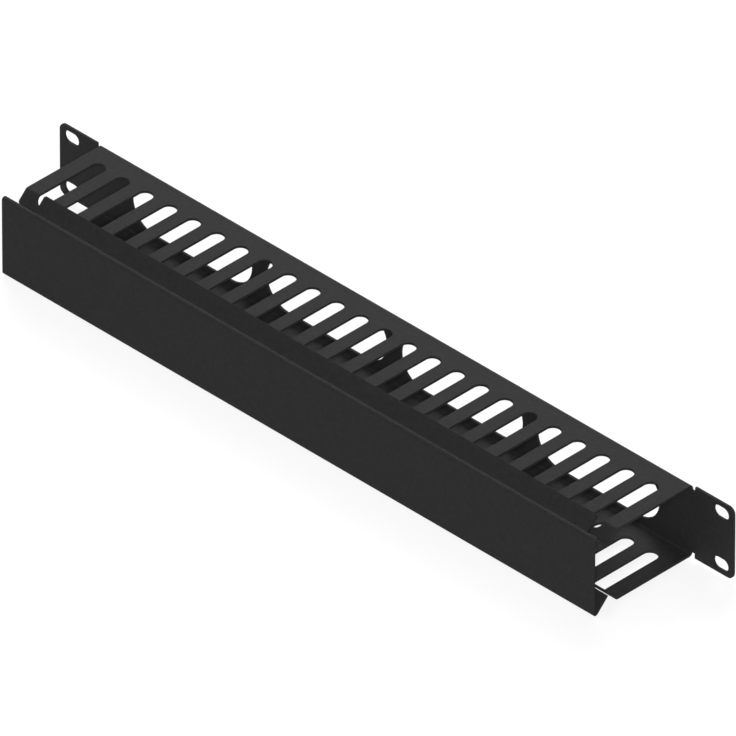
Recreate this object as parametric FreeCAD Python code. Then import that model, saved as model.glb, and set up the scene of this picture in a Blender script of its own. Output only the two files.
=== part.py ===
"""Horizontal cable manager for a 19 inch rack: a slotted channel with ears, and its clip-on cover.

Both pieces are folded steel sheet. X runs across the rack, -Y points out of the rack towards
the person, and +Z is up. The origin is the centre of the four mounting holes, on the rear face
of the ears, which is the face that meets the rack posts. All sizes are in millimetres.
"""
import FreeCAD
import Part
import math
import os

# Rack interface
PANEL_WIDTH = 482.6          # over both ears
PANEL_HEIGHT = 44.0          # one rack unit, less its running gap
EAR_WIDTH = 27.3
EAR_CORNER_RADIUS = 4.0
HOLE_LENGTH = 10.5           # along X
HOLE_HEIGHT = 7.0
HOLE_FROM_END = 8.75         # to the hole's centre, which puts the rows 465.1 apart
HOLE_FROM_EDGE = 6.125       # to the hole's centre, which puts the pair 31.75 apart

# Channel
CHANNEL_SHEET = 1.5
CHANNEL_BEND_RADIUS = 1.0    # on the inside of each fold
CHANNEL_DEPTH = 54.5         # rear face to the front fold of the slotted plates
LIP_LENGTH = 9.0             # the sloping front edge, along its slope
LIP_ANGLE = 45.0             # below the plate, in degrees
LIP_CORNER_RADIUS = 1.5
RELIEF_WIDTH = 2.5           # notch between a plate's end and the ear
RELIEF_DEPTH = 3.0

# Cable slots, the same in the top plate and the bottom plate
SLOT_PITCH = 17.2
SLOT_WIDTH = 8.6
END_FINGER = 8.0             # least sheet beside the slots at the ends
SLOT_BACK = 12.7             # rear face to the slot's rounded rear end
SLOT_ON_LIP = 5.2            # how far the slot's front end runs down the sloping lip

# Pass-through openings in the back
OPENING_COUNT = 4
OPENING_BRIDGE = 10.0        # sheet left between two openings
OPENING_FROM_END = 22.5      # sheet left at each end of the channel
OPENING_FROM_EDGE = 6.4      # sheet left above and below

# Cover
COVER_SHEET = 1.2
COVER_BEND_RADIUS = 0.6      # on the inside of each fold
COVER_PAST_END = 0.5         # beyond each end of the channel
COVER_OVERHANG = 1.9         # above the panel's top edge and below its bottom edge
COVER_CLEARANCE = 0.3        # between the cover's lips and the channel's lips
GROOVE_PAST_LIP = 1.2        # the groove's fold lies this far past the edge of the channel's lip
COVER_CORNER_RADIUS = 1.5

CHANNEL_LENGTH = PANEL_WIDTH - 2 * (EAR_WIDTH + RELIEF_WIDTH)
COVER_LENGTH = CHANNEL_LENGTH + 2 * COVER_PAST_END
HALF_HEIGHT = PANEL_HEIGHT / 2
SLOPE = math.radians(LIP_ANGLE)
LONG = 1000.0                # longer than anything that a cutting tool has to pass through


def point(y, z):
    return FreeCAD.Vector(0, y, z)


def mirrored(points):
    """The same points below the middle plane, in reverse order."""
    return [point(p.y, -p.z) for p in reversed(points)]


# Directions along and out from the top lip, and the line where the lip leaves the top plate
DOWN_LIP = point(-math.cos(SLOPE), -math.sin(SLOPE))
OFF_LIP = point(-math.sin(SLOPE), math.cos(SLOPE))
TOP_FOLD = point(-CHANNEL_DEPTH, HALF_HEIGHT)


def beside_lip(along, away):
    """A point given by its distance down the top lip and its distance off the lip's outer face."""
    return TOP_FOLD + DOWN_LIP * along + OFF_LIP * away


def right_of(direction):
    return point(direction.z, -direction.y)


def offset_to_right(points, distance):
    """The corners of the path that runs to the right of this one, at a constant distance."""
    directions = [(b - a).normalize() for a, b in zip(points, points[1:])]
    corners = [points[0] + right_of(directions[0]) * distance]
    for corner, before, after in zip(points[1:], directions, directions[1:]):
        bisector = (right_of(before) + right_of(after)).normalize()
        corners.append(corner + bisector * (distance / bisector.dot(right_of(before))))
    corners.append(points[-1] + right_of(directions[-1]) * distance)
    return corners


def rounded_path(points, radii):
    """Straight edges through the points, with a tangent arc of the given radius at each corner."""
    edges = []
    start = points[0]
    for before, corner, after, radius in zip(points, points[1:], points[2:], radii):
        back = (before - corner).normalize()
        on = (after - corner).normalize()
        half_angle = back.getAngle(on) / 2
        reach = radius / math.tan(half_angle)
        middle = (back + on).normalize() * (radius / math.sin(half_angle) - radius)
        edges.append(Part.LineSegment(start, corner + back * reach).toShape())
        arc = Part.Arc(corner + back * reach, corner + middle, corner + on * reach)
        edges.append(arc.toShape())
        start = corner + on * reach
    edges.append(Part.LineSegment(start, points[-1]).toShape())
    return edges


def folded_sheet(points, thickness, bend_radius, length):
    """A sheet whose left face follows the points, extruded along X about the middle plane."""
    left_radii, right_radii = [], []
    for before, corner, after in zip(points, points[1:], points[2:]):
        turns_right = right_of(corner - before).dot(after - corner) > 0
        left_radii.append(bend_radius + thickness if turns_right else bend_radius)
        right_radii.append(bend_radius if turns_right else bend_radius + thickness)
    others = offset_to_right(points, thickness)
    edges = rounded_path(points, left_radii) + rounded_path(others, right_radii)
    edges.append(Part.LineSegment(points[0], others[0]).toShape())
    edges.append(Part.LineSegment(points[-1], others[-1]).toShape())
    section = Part.Face(Part.Wire(Part.__sortEdges__(edges)))
    section.translate(FreeCAD.Vector(-length / 2, 0, 0))
    return section.extrude(FreeCAD.Vector(length, 0, 0))


def obround(length, width, depth):
    """A slot-shaped tool: its length along Y, its width along X, its depth along Z, all centred."""
    straight = length - width
    tool = Part.makeBox(width, straight, depth, FreeCAD.Vector(-width / 2, -straight / 2, -depth / 2))
    for end in (-1, 1):
        place = FreeCAD.Vector(0, end * straight / 2, -depth / 2)
        tool = tool.fuse(Part.makeCylinder(width / 2, depth, place))
    return tool.removeSplitter()


def panel_tool(length, height, x, z):
    """An obround tool through the panel, lying along X."""
    tool = obround(length, height, 6 * CHANNEL_SHEET)
    tool.rotate(FreeCAD.Vector(), FreeCAD.Vector(0, 0, 1), 90)
    tool.rotate(FreeCAD.Vector(), FreeCAD.Vector(1, 0, 0), 90)
    tool.translate(FreeCAD.Vector(x, 0, z))
    return tool


def both_sides(shape):
    """The shape with its copy across the middle plane of the channel's height."""
    return [shape, shape.mirror(FreeCAD.Vector(), FreeCAD.Vector(0, 0, 1))]


def both_ends(shape):
    return [shape, shape.mirror(FreeCAD.Vector(), FreeCAD.Vector(1, 0, 0))]


def slot_places():
    """The middle of each cable slot along X: as many as leave the end fingers whole."""
    room = CHANNEL_LENGTH - 2 * END_FINGER - SLOT_WIDTH
    gaps = int(room / SLOT_PITCH)
    return [(n - gaps / 2) * SLOT_PITCH for n in range(gaps + 1)]


def rear_openings():
    """A tool for each pass-through opening, which share the channel's length between them."""
    room = CHANNEL_LENGTH - 2 * OPENING_FROM_END + OPENING_BRIDGE
    step = room / OPENING_COUNT
    height = PANEL_HEIGHT - 2 * OPENING_FROM_EDGE
    middle = (OPENING_COUNT - 1) / 2
    return [panel_tool(step - OPENING_BRIDGE, height, (n - middle) * step, 0) for n in range(OPENING_COUNT)]


def past_fold(side):
    """Everything on one side of the plane that halves the top fold: 1 is the plate, -1 the lip."""
    half = Part.makeBox(LONG, LONG, LONG, FreeCAD.Vector(-LONG / 2, (side - 1) / 2 * LONG, -LONG / 2))
    half.rotate(FreeCAD.Vector(), FreeCAD.Vector(1, 0, 0), LIP_ANGLE / 2)
    half.translate(TOP_FOLD)
    return half


def slot_tool():
    """Cuts one cable slot in the top plate and on, over the fold, down the sloping lip."""
    depth = 4 * (CHANNEL_SHEET + CHANNEL_BEND_RADIUS)
    overlap = 2 * SLOT_WIDTH
    in_plate = CHANNEL_DEPTH - SLOT_BACK + overlap
    plate_part = obround(in_plate, SLOT_WIDTH, depth)
    plate_part.translate(FreeCAD.Vector(0, -SLOT_BACK - in_plate / 2, HALF_HEIGHT))

    on_lip = SLOT_ON_LIP + overlap
    lip_part = obround(on_lip, SLOT_WIDTH, depth)
    lip_part.rotate(FreeCAD.Vector(), FreeCAD.Vector(1, 0, 0), LIP_ANGLE)
    lip_part.translate(beside_lip(SLOT_ON_LIP - on_lip / 2, 0))
    return plate_part.common(past_fold(1)).fuse(lip_part.common(past_fold(-1))).removeSplitter()


def ear():
    """The right ear, with its mounting slots and the relief notches beside the folds."""
    start = CHANNEL_LENGTH / 2 - RELIEF_WIDTH
    width = EAR_WIDTH + 2 * RELIEF_WIDTH
    low_corner = FreeCAD.Vector(start, -CHANNEL_SHEET, -HALF_HEIGHT)
    blank = Part.makeBox(width, CHANNEL_SHEET, PANEL_HEIGHT, low_corner)
    corners = [edge for edge in blank.Edges
               if edge.BoundBox.XMin > PANEL_WIDTH / 2 - 0.1 and edge.BoundBox.YLength > 0.1
               and edge.BoundBox.ZLength < 0.1]
    blank = blank.makeFillet(EAR_CORNER_RADIUS, corners)
    hole_x = PANEL_WIDTH / 2 - HOLE_FROM_END
    hole_z = HALF_HEIGHT - HOLE_FROM_EDGE
    cuts = [panel_tool(HOLE_LENGTH, HOLE_HEIGHT, hole_x, z) for z in (-hole_z, hole_z)]
    relief_corner = FreeCAD.Vector(start, -2 * CHANNEL_SHEET, HALF_HEIGHT - RELIEF_DEPTH)
    cuts += both_sides(Part.makeBox(2 * RELIEF_WIDTH, 4 * CHANNEL_SHEET, RELIEF_DEPTH, relief_corner))
    return blank.cut(Part.makeCompound(cuts))


def round_corners(shape, places, radius):
    """Rounds each corner of a sheet whose short edge passes within the radius of a given place."""
    corners = [edge for edge in shape.Edges
               if edge.Length < 2 * radius
               and min(edge.CenterOfMass.distanceToPoint(place) for place in places) < radius]
    return shape.makeFillet(radius, corners)


def four_corners(place, half_length):
    """A place in the section, at both ends of a sheet and on both sides of the middle plane."""
    return [FreeCAD.Vector(x, place.y, z) for x in (-half_length, half_length) for z in (-place.z, place.z)]


def channel():
    lip_edge = beside_lip(LIP_LENGTH, 0)
    top = [lip_edge, TOP_FOLD, point(0, HALF_HEIGHT)]
    body = folded_sheet(top + mirrored(top), CHANNEL_SHEET, CHANNEL_BEND_RADIUS, CHANNEL_LENGTH)
    body = round_corners(body, four_corners(lip_edge, CHANNEL_LENGTH / 2), LIP_CORNER_RADIUS)
    body = body.fuse(both_ends(ear())).removeSplitter()

    tools = rear_openings()
    tool = slot_tool()
    for x in slot_places():
        placed = tool.copy()
        placed.translate(FreeCAD.Vector(x, 0, 0))
        tools += both_sides(placed)
    return body.cut(tools)


def cover():
    """Front plate, then at each long edge a fold back and in, and a lip that rises over the channel."""
    outer_bend = COVER_BEND_RADIUS + COVER_SHEET
    top = HALF_HEIGHT + COVER_OVERHANG
    groove = LIP_LENGTH + GROOVE_PAST_LIP

    # The front plate stands where its top fold is tangent to the sloping flank of the groove
    flank = TOP_FOLD.dot(DOWN_LIP) + groove - COVER_SHEET
    centre_y = -(flank + outer_bend + (top - outer_bend) * math.sin(SLOPE)) / math.cos(SLOPE)
    inside_y = centre_y - outer_bend + COVER_SHEET

    groove_fold = beside_lip(groove, COVER_CLEARANCE)
    lip_top = (TOP_FOLD.z + (COVER_CLEARANCE + COVER_SHEET) * math.cos(SLOPE) - top) / math.sin(SLOPE)
    lip_edge = beside_lip(lip_top, COVER_CLEARANCE)
    rise = (groove_fold.y - inside_y) / math.sin(SLOPE)
    front_fold = groove_fold + OFF_LIP * rise

    with_lips = [lip_edge, groove_fold, front_fold]
    lips_length = slot_places()[-1] - slot_places()[0]
    middle = folded_sheet(with_lips + mirrored(with_lips), COVER_SHEET, COVER_BEND_RADIUS, lips_length)
    middle = round_corners(middle, four_corners(lip_edge, lips_length / 2), COVER_CORNER_RADIUS)

    # Past the lips' ends the flank stays flat and runs on to the channel's lip
    flank_only = [groove_fold, front_fold]
    ends = folded_sheet(flank_only + mirrored(flank_only), COVER_SHEET, COVER_BEND_RADIUS, COVER_LENGTH)
    between = FreeCAD.Vector(-lips_length / 2, -LONG / 2, -LONG / 2)
    ends = ends.cut(Part.makeBox(lips_length, LONG, LONG, between))
    return middle.fuse(ends).removeSplitter()


def main():
    os.makedirs("parts", exist_ok=True)
    nodes = {"channel": channel(), "cover": cover()}
    for name, shape in nodes.items():
        solid = shape.Solids[0]
        print(name, len(shape.Solids), "solid", round(solid.Volume), "mm3", solid.isValid(),
              [round(v, 2) for v in (solid.BoundBox.XMin, solid.BoundBox.YMin, solid.BoundBox.ZMin,
                                     solid.BoundBox.XMax, solid.BoundBox.YMax, solid.BoundBox.ZMax)])
        solid.exportStep("parts/" + name + ".step")
    print("overlap", round(nodes["channel"].common(nodes["cover"]).Volume, 3), "mm3")


main()
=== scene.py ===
"""Looks of the rack cable manager: satin black powder coat on two folded sheets, on a pale floor.

The cover is its own solid with the facets joined. The channel is cut here as a flat blank and
folded to its solid's sizes, which gives its slots and openings finer arcs.
"""
import math
from bisect import bisect_right

import bmesh
import bpy
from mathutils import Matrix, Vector
from mathutils.geometry import delaunay_2d_cdt


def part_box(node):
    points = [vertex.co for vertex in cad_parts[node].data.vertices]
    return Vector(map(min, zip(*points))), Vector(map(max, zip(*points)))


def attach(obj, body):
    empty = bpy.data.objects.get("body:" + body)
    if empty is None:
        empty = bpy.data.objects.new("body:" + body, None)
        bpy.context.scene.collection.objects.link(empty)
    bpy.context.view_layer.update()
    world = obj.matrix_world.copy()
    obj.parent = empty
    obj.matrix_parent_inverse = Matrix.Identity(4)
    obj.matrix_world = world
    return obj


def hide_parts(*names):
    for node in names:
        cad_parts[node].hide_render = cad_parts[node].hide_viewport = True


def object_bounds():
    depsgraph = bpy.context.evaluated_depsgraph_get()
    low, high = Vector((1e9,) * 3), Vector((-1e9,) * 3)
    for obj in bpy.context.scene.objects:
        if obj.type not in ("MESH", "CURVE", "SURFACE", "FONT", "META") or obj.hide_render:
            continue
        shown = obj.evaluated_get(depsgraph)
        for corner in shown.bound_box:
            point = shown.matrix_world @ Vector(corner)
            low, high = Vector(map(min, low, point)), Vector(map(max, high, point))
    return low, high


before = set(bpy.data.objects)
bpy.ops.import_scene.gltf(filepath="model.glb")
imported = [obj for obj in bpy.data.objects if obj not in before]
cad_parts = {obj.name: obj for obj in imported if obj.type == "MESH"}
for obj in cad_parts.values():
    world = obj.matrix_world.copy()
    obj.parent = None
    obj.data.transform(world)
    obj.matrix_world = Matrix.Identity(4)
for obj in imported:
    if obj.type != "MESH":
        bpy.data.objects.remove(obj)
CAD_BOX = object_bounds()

MM = 0.001
RIGHT_ANGLE = math.radians(90.0)

# Camera: an isometric view through a long lens, from the front right and above
VIEW_AZIMUTH = math.radians(45.0)
VIEW_ELEVATION = math.atan(math.sqrt(0.5))
HALF_ANGLE = math.radians(0.65)      # half of what the lens takes in
FRAME_WIDTH = 373.6 * MM             # what the picture spans at the object
AIM = Vector((-18.76, -1.12, -21.06)) * MM
SENSOR_WIDTH = 36.0
SIGHT = 4                            # the camera sees this many times as far as the object

# Floor
FLOOR_SIZE = 60.0
FLOOR_GAP = 0.2 * MM                 # below the lowest edge, so that they don't share a plane
FLOOR_COLOUR = (0.17, 0.17, 0.17, 1.0)
FLOOR_ROUGHNESS = 0.9
FLOOR_SPECULAR = 0.1
FLOOR_GLOW = 0.77                    # the table is lit from below as well

# Sky: dim overhead, with a pale wall all round near the horizon
WHITE = (1.0, 1.0, 1.0, 1.0)
SKY_STRENGTH = 0.04
WALL_STRENGTH = 0.85
WALL_TOP = 0.10                      # sine of the elevation where the wall starts to fade
WALL_END = 0.22

# Softboxes: azimuth and elevation in degrees, distance and size in metres, power in watts.
# The far one stands on the camera's line, so it lights what the camera sees inside the channel.
SOFTBOXES = {
    "overhead": (0.0, 90.0, 1.6, 1.0, 6.0),
    "behind": (225.0, 42.0, 2.5, 1.8, 76.0),
    "far_right": (45.0, 35.3, 8.0, 0.5, 760.0),
    "front_left": (-48.0, 40.0, 2.0, 1.2, 7.0),
}

# Powder coat. The scales are waves to a metre.
COAT_DARK = (0.0115, 0.0115, 0.0120, 1.0)
COAT_LIGHT = (0.0190, 0.0190, 0.0198, 1.0)
COAT_ROUGHNESS = 0.52
ROUGHNESS_SWING = 0.06
COAT_SPECULAR = 0.03
PEEL_SCALE = 450.0
PEEL_DETAIL = 2.0
PEEL_BREAKUP = 0.5
PEEL_STRENGTH = 0.5
PEEL_HEIGHT = 0.10 * MM
GRAIN_SCALE = 3000.0
GRAIN_DETAIL = 3.0
GRAIN_BREAKUP = 0.6
GRAIN_STRENGTH = 0.8
GRAIN_HEIGHT = 0.16 * MM

# Edges
EDGE_ROUNDING = 0.22 * MM
ROUNDING_STEPS = 2
SHARP_EDGE = math.radians(35.0)
WELD_DISTANCE = 0.002 * MM
SAME_PLANE = math.radians(0.5)

# The channel's sheet, in millimetres
CHANNEL_LOW, CHANNEL_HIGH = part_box("channel")
PANEL_WIDTH = (CHANNEL_HIGH[0] - CHANNEL_LOW[0]) / MM
PANEL_HEIGHT = (CHANNEL_HIGH[2] - CHANNEL_LOW[2]) / MM
EAR_WIDTH = 27.3
EAR_CORNER_RADIUS = 4.0
HOLE_LENGTH = 10.5
HOLE_HEIGHT = 7.0
HOLE_FROM_END = 8.75                 # to the hole's centre
HOLE_FROM_EDGE = 6.125               # to the hole's centre
SHEET = 1.5
BEND_RADIUS = 1.0                    # on the inside of each fold
CHANNEL_DEPTH = 54.5
LIP_LENGTH = 9.0
LIP_ANGLE = math.radians(45.0)
LIP_CORNER_RADIUS = 1.5
RELIEF_WIDTH = 2.5                   # notch between a plate's end and the ear
RELIEF_DEPTH = 3.0
SLOT_COUNT = 24
SLOT_PITCH = 17.2
SLOT_WIDTH = 8.6
SLOT_BACK = 12.7                     # rear face to the slot's rounded rear end
SLOT_ON_LIP = 5.2                    # how far the slot's front end runs down the lip
OPENING_COUNT = 4
OPENING_BRIDGE = 10.0                # sheet left between two openings
OPENING_FROM_END = 22.5
OPENING_FROM_EDGE = 6.4
CHANNEL_LENGTH = PANEL_WIDTH - 2 * (EAR_WIDTH + RELIEF_WIDTH)

# From the middle of the back outwards: the runs between the folds' corners, and the folds
RUNS = (PANEL_HEIGHT / 2, CHANNEL_DEPTH, LIP_LENGTH)
FOLDS = (RIGHT_ANGLE, LIP_ANGLE)

# How the blank is meshed
ARC_STEP = math.radians(7.5)
NEAR = 0.0005                        # places closer than this to a line are on it
SAME_POINT = 0.00001
FACES_WITHOUT_HOLES = 5              # what the triangulation is asked for


def add_object(name, data):
    thing = bpy.data.objects.new(name, data)
    bpy.context.scene.collection.objects.link(thing)
    return thing


def face_towards(thing, target, azimuth, elevation, distance):
    """Puts a camera or a lamp this far from the target, facing it. Azimuth 0 is the front."""
    level = math.cos(elevation)
    way = Vector((math.sin(azimuth) * level, -math.cos(azimuth) * level, math.sin(elevation)))
    thing.location = target + way * distance
    thing.rotation_euler = way.to_track_quat("Z", "Y").to_euler()


def add_camera():
    distance = FRAME_WIDTH / 2 / math.tan(HALF_ANGLE)
    data = bpy.data.cameras.new("camera")
    data.type = "PERSP"
    data.sensor_width = SENSOR_WIDTH
    data.lens = SENSOR_WIDTH / 2 / math.tan(HALF_ANGLE)
    data.clip_end = SIGHT * distance
    camera = add_object("camera", data)
    face_towards(camera, AIM, VIEW_AZIMUTH, VIEW_ELEVATION, distance)
    bpy.context.scene.camera = camera


def add_sky():
    world = bpy.data.worlds.new("studio")
    world.use_nodes = True
    tree = world.node_tree
    background = tree.nodes["Background"]
    background.inputs["Color"].default_value = WHITE
    place = tree.nodes.new("ShaderNodeTexCoord")
    parts = tree.nodes.new("ShaderNodeSeparateXYZ")
    fade = tree.nodes.new("ShaderNodeMapRange")
    fade.interpolation_type = "SMOOTHSTEP"
    fade.inputs["From Min"].default_value = WALL_TOP
    fade.inputs["From Max"].default_value = WALL_END
    fade.inputs["To Min"].default_value = WALL_STRENGTH
    fade.inputs["To Max"].default_value = SKY_STRENGTH
    tree.links.new(place.outputs["Generated"], parts.inputs["Vector"])
    tree.links.new(parts.outputs["Z"], fade.inputs["Value"])
    tree.links.new(fade.outputs["Result"], background.inputs["Strength"])
    bpy.context.scene.world = world


def add_softboxes():
    for name, (azimuth, elevation, distance, size, power) in SOFTBOXES.items():
        data = bpy.data.lights.new(name, "AREA")
        data.shape = "SQUARE"
        data.size = size
        data.energy = power
        softbox = add_object(name, data)
        face_towards(softbox, Vector(), math.radians(azimuth), math.radians(elevation), distance)


def floor_paper():
    material = bpy.data.materials.new("floor_paper")
    material.use_nodes = True
    shader = material.node_tree.nodes["Principled BSDF"]
    shader.inputs["Base Color"].default_value = FLOOR_COLOUR
    shader.inputs["Roughness"].default_value = FLOOR_ROUGHNESS
    shader.inputs["Specular IOR Level"].default_value = FLOOR_SPECULAR
    shader.inputs["Emission Color"].default_value = WHITE
    shader.inputs["Emission Strength"].default_value = FLOOR_GLOW
    return material


def add_floor():
    low = CAD_BOX[0][2] - FLOOR_GAP
    half = FLOOR_SIZE / 2
    corners = [(-half, -half, low), (half, -half, low), (half, half, low), (-half, half, low)]
    mesh = bpy.data.meshes.new("floor")
    mesh.from_pydata(corners, [], [(0, 1, 2, 3)])
    mesh.materials.append(floor_paper())
    floor = add_object("floor", mesh)


def noise(tree, place, scale, detail, breakup):
    texture = tree.nodes.new("ShaderNodeTexNoise")
    texture.inputs["Scale"].default_value = scale
    texture.inputs["Detail"].default_value = detail
    texture.inputs["Roughness"].default_value = breakup
    tree.links.new(place.outputs["Object"], texture.inputs["Vector"])
    return texture.outputs["Fac"]


def bump(tree, pattern, strength, height):
    node = tree.nodes.new("ShaderNodeBump")
    node.inputs["Strength"].default_value = strength
    node.inputs["Distance"].default_value = height
    tree.links.new(pattern, node.inputs["Height"])
    return node


def powder_coat(name):
    """Black polyester powder coat: a fine grain over a faint orange peel, satin."""
    material = bpy.data.materials.new(name)
    material.use_nodes = True
    tree = material.node_tree
    shader = tree.nodes["Principled BSDF"]
    shader.inputs["Specular IOR Level"].default_value = COAT_SPECULAR
    place = tree.nodes.new("ShaderNodeTexCoord")
    peel = noise(tree, place, PEEL_SCALE, PEEL_DETAIL, PEEL_BREAKUP)
    grain = noise(tree, place, GRAIN_SCALE, GRAIN_DETAIL, GRAIN_BREAKUP)

    colour = tree.nodes.new("ShaderNodeMix")
    colour.data_type = "RGBA"
    colour.inputs["A"].default_value = COAT_DARK
    colour.inputs["B"].default_value = COAT_LIGHT
    tree.links.new(peel, colour.inputs["Factor"])
    tree.links.new(colour.outputs["Result"], shader.inputs["Base Color"])

    gloss = tree.nodes.new("ShaderNodeMapRange")
    gloss.inputs["To Min"].default_value = COAT_ROUGHNESS - ROUGHNESS_SWING
    gloss.inputs["To Max"].default_value = COAT_ROUGHNESS + ROUGHNESS_SWING
    tree.links.new(grain, gloss.inputs["Value"])
    tree.links.new(gloss.outputs["Result"], shader.inputs["Roughness"])

    waves = bump(tree, peel, PEEL_STRENGTH, PEEL_HEIGHT)
    grit = bump(tree, grain, GRAIN_STRENGTH, GRAIN_HEIGHT)
    tree.links.new(waves.outputs["Normal"], grit.inputs["Normal"])
    tree.links.new(grit.outputs["Normal"], shader.inputs["Normal"])
    return material


def along(heading):
    return Vector((math.cos(heading), math.sin(heading)))


def out_of(heading):
    """The way out of the sheet's outer face, for a line across the sheet with this heading."""
    return Vector((math.sin(heading), -math.cos(heading)))


def fold_reach(angle):
    """How far before a fold's corner its arc starts, on the outer face."""
    return (BEND_RADIUS + SHEET) * math.tan(angle / 2)


def stations():
    """The line across the sheet from the middle of its back to a lip's edge. Each station has its
    distance on the flat blank, its place (depth, height) on the outer face, and the way out there."""
    heading = RIGHT_ANGLE
    across = 0.0
    place = Vector((0.0, 0.0))
    found = [(across, place, out_of(heading))]
    reach = 0.0
    for run, fold in zip(RUNS, FOLDS + (0.0,)):
        straight = run - reach - fold_reach(fold)
        across += straight
        place = place + along(heading) * straight
        found.append((across, place, out_of(heading)))
        reach = fold_reach(fold)
        centre = place - out_of(heading) * (BEND_RADIUS + SHEET)
        steps = round(fold / ARC_STEP)
        for _ in range(steps):
            heading += fold / steps
            across += (BEND_RADIUS + SHEET / 2) * fold / steps
            place = centre + out_of(heading) * (BEND_RADIUS + SHEET)
            found.append((across, place, out_of(heading)))
    return found


STATIONS = stations()

# Where the plate, the lip and the lip's edge are on the flat blank
PLATE_START = STATIONS[1 + round(FOLDS[0] / ARC_STEP)][0]
LIP_START = STATIONS[-2][0]
LIP_EDGE = STATIONS[-1][0]


def folded(x, across, depth):
    """Where a point of the flat blank goes, this deep under the outer face. The ears stay flat."""
    if abs(x) > CHANNEL_LENGTH / 2 + NEAR:
        place = Vector((0.0, abs(across)))
        out = out_of(RIGHT_ANGLE)
    else:
        after = bisect_right([station[0] for station in STATIONS], abs(across))
        after = min(after, len(STATIONS) - 1)
        start, start_place, start_out = STATIONS[after - 1]
        end, end_place, end_out = STATIONS[after]
        share = (abs(across) - start) / (end - start)
        place = start_place.lerp(end_place, share)
        out = start_out.lerp(end_out, share)
    place = place - out * depth
    return Vector((x, place.x, math.copysign(place.y, across))) * MM


def arc(centre, radius, start, turn):
    steps = round(turn / ARC_STEP)
    return [centre + along(start + turn * n / steps) * radius for n in range(steps + 1)]


def obround(x, across, length, height):
    """A slot-shaped hole of the blank: its length along X, its height across the blank."""
    radius = min(length, height) / 2
    to_end = Vector((length / 2 - radius, height / 2 - radius))
    start = -RIGHT_ANGLE if length > height else 0.0
    centre = Vector((x, across))
    return (arc(centre + to_end, radius, start, 2 * RIGHT_ANGLE)
            + arc(centre - to_end, radius, start + 2 * RIGHT_ANGLE, 2 * RIGHT_ANGLE))


def slot_places():
    return [(n - (SLOT_COUNT - 1) / 2) * SLOT_PITCH for n in range(SLOT_COUNT)]


def outline():
    """The blank's edge: a quarter of it, from an ear over its notch to a lip's corner, four times."""
    top = PANEL_HEIGHT / 2
    end = CHANNEL_LENGTH / 2
    ear_corner = Vector((PANEL_WIDTH / 2 - EAR_CORNER_RADIUS, top - EAR_CORNER_RADIUS))
    lip_corner = Vector((end - LIP_CORNER_RADIUS, LIP_EDGE - LIP_CORNER_RADIUS))
    points = arc(ear_corner, EAR_CORNER_RADIUS, 0.0, RIGHT_ANGLE)
    points += [Vector((end + RELIEF_WIDTH, top)),
               Vector((end + RELIEF_WIDTH, top - RELIEF_DEPTH)),
               Vector((end, top - RELIEF_DEPTH))]
    points += arc(lip_corner, LIP_CORNER_RADIUS, 0.0, RIGHT_ANGLE)
    points += [Vector((-p.x, p.y)) for p in reversed(points)]
    return points + [Vector((p.x, -p.y)) for p in reversed(points)]


def slots_and_mounting_holes():
    """The cable slots of both plates, and the slotted holes of both ears."""
    rear = PLATE_START + SLOT_BACK - fold_reach(FOLDS[0])
    front = LIP_START + SLOT_ON_LIP - fold_reach(FOLDS[1])
    hole_x = PANEL_WIDTH / 2 - HOLE_FROM_END
    hole_z = PANEL_HEIGHT / 2 - HOLE_FROM_EDGE
    found = []
    for side in (-1, 1):
        found += [obround(x, side * (rear + front) / 2, SLOT_WIDTH, front - rear) for x in slot_places()]
        found += [obround(x, side * hole_z, HOLE_LENGTH, HOLE_HEIGHT) for x in (-hole_x, hole_x)]
    return found


def openings():
    """The pass-through openings of the back, which share the channel's length between them."""
    step = (CHANNEL_LENGTH - 2 * OPENING_FROM_END + OPENING_BRIDGE) / OPENING_COUNT
    height = PANEL_HEIGHT - 2 * OPENING_FROM_EDGE
    middle = (OPENING_COUNT - 1) / 2
    return [obround((n - middle) * step, 0.0, step - OPENING_BRIDGE, height) for n in range(OPENING_COUNT)]


def cut_blank():
    """The flat blank with its holes."""
    points = []
    loops = []
    for loop in [outline()] + slots_and_mounting_holes() + openings():
        loops.append(list(range(len(points), len(points) + len(loop))))
        points += loop
    places, _, faces, *_ = delaunay_2d_cdt(points, [], loops, FACES_WITHOUT_HOLES, SAME_POINT)
    blank = bmesh.new()
    corners = [blank.verts.new((place.x, place.y, 0.0)) for place in places]
    for face in faces:
        blank.faces.new([corners[n] for n in face])
    return blank


def divide(blank, place, way, half_length, from_across=0.0):
    """Divides the blank's faces along a line: those inside this half length of its middle, and
    from this distance across on."""
    part = {}
    for face in blank.faces:
        middle = face.calc_center_bounds()
        if abs(middle.x) < half_length and abs(middle.y) >= from_across:
            part.update(dict.fromkeys([face, *face.edges, *face.verts]))
    bmesh.ops.bisect_plane(blank, geom=list(part), dist=NEAR, plane_co=place, plane_no=way)


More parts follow.
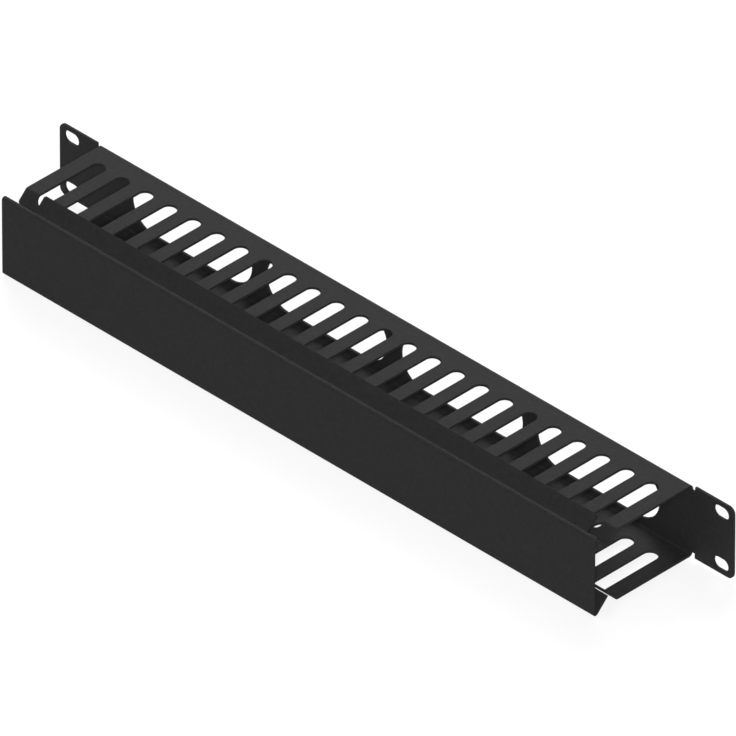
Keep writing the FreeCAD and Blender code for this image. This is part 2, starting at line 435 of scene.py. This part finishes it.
def divided_blank():
    """The blank, divided where its ears begin, along its fold lines and down its fingers."""
    blank = cut_blank()
    half = CHANNEL_LENGTH / 2
    for side in (-1, 1):
        divide(blank, (side * half, 0, 0), (1, 0, 0), PANEL_WIDTH / 2)
    for side in (-1, 1):
        for across, _, _ in STATIONS[1:-1]:
            divide(blank, (0, side * across, 0), (0, 1, 0), half)
    for x in slot_places()[1:]:
        divide(blank, (x - SLOT_PITCH / 2, 0, 0), (1, 0, 0), half, PLATE_START)
    return blank


def channel_sheet():
    """The blank folded, and given its other face and its cut edges."""
    blank = divided_blank()
    sheet = bmesh.new()
    outer = {v: sheet.verts.new(folded(v.co.x, v.co.y, 0.0)) for v in blank.verts}
    inner = {v: sheet.verts.new(folded(v.co.x, v.co.y, SHEET)) for v in blank.verts}
    for face in blank.faces:
        sheet.faces.new([outer[v] for v in face.verts])
        sheet.faces.new([inner[v] for v in reversed(face.verts)])
    for edge in blank.edges:
        if edge.is_boundary:
            a, b = edge.verts
            sheet.faces.new([outer[a], outer[b], inner[b], inner[a]])
    bmesh.ops.recalc_face_normals(sheet, faces=sheet.faces)
    mesh = bpy.data.meshes.new("channel_sheet")
    sheet.to_mesh(mesh)
    return add_object("channel_sheet", mesh)


def join_facets(piece):
    """Joins a solid's triangles into its flat faces, so that the rounding runs clean along the edges."""
    normals = piece.data.attributes.get("custom_normal")
    if normals:
        piece.data.attributes.remove(normals)
    weld = piece.modifiers.new("weld", "WELD")
    weld.merge_threshold = WELD_DISTANCE
    flat = piece.modifiers.new("flat", "DECIMATE")
    flat.decimate_type = "DISSOLVE"
    flat.angle_limit = SAME_PLANE


def soften_edges(piece):
    """The coat rounds every sheared edge of the sheet a little."""
    piece.data.shade_smooth()
    rounding = piece.modifiers.new("rounding", "BEVEL")
    rounding.width = EDGE_ROUNDING
    rounding.segments = ROUNDING_STEPS
    rounding.limit_method = "ANGLE"
    rounding.angle_limit = SHARP_EDGE
    rounding.use_clamp_overlap = False
    rounding.harden_normals = True
    rounding.loop_slide = False


def dress(piece, material):
    piece.data.materials.clear()
    piece.data.materials.append(material)
    soften_edges(piece)


add_camera()
add_sky()
add_softboxes()
add_floor()

channel = channel_sheet()
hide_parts("channel")
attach(channel, "channel_body")
dress(channel, powder_coat("channel_coat"))

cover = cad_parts["cover"]
join_facets(cover)
dress(cover, powder_coat("cover_coat"))

bpy.context.scene.view_settings.view_transform = "Standard"
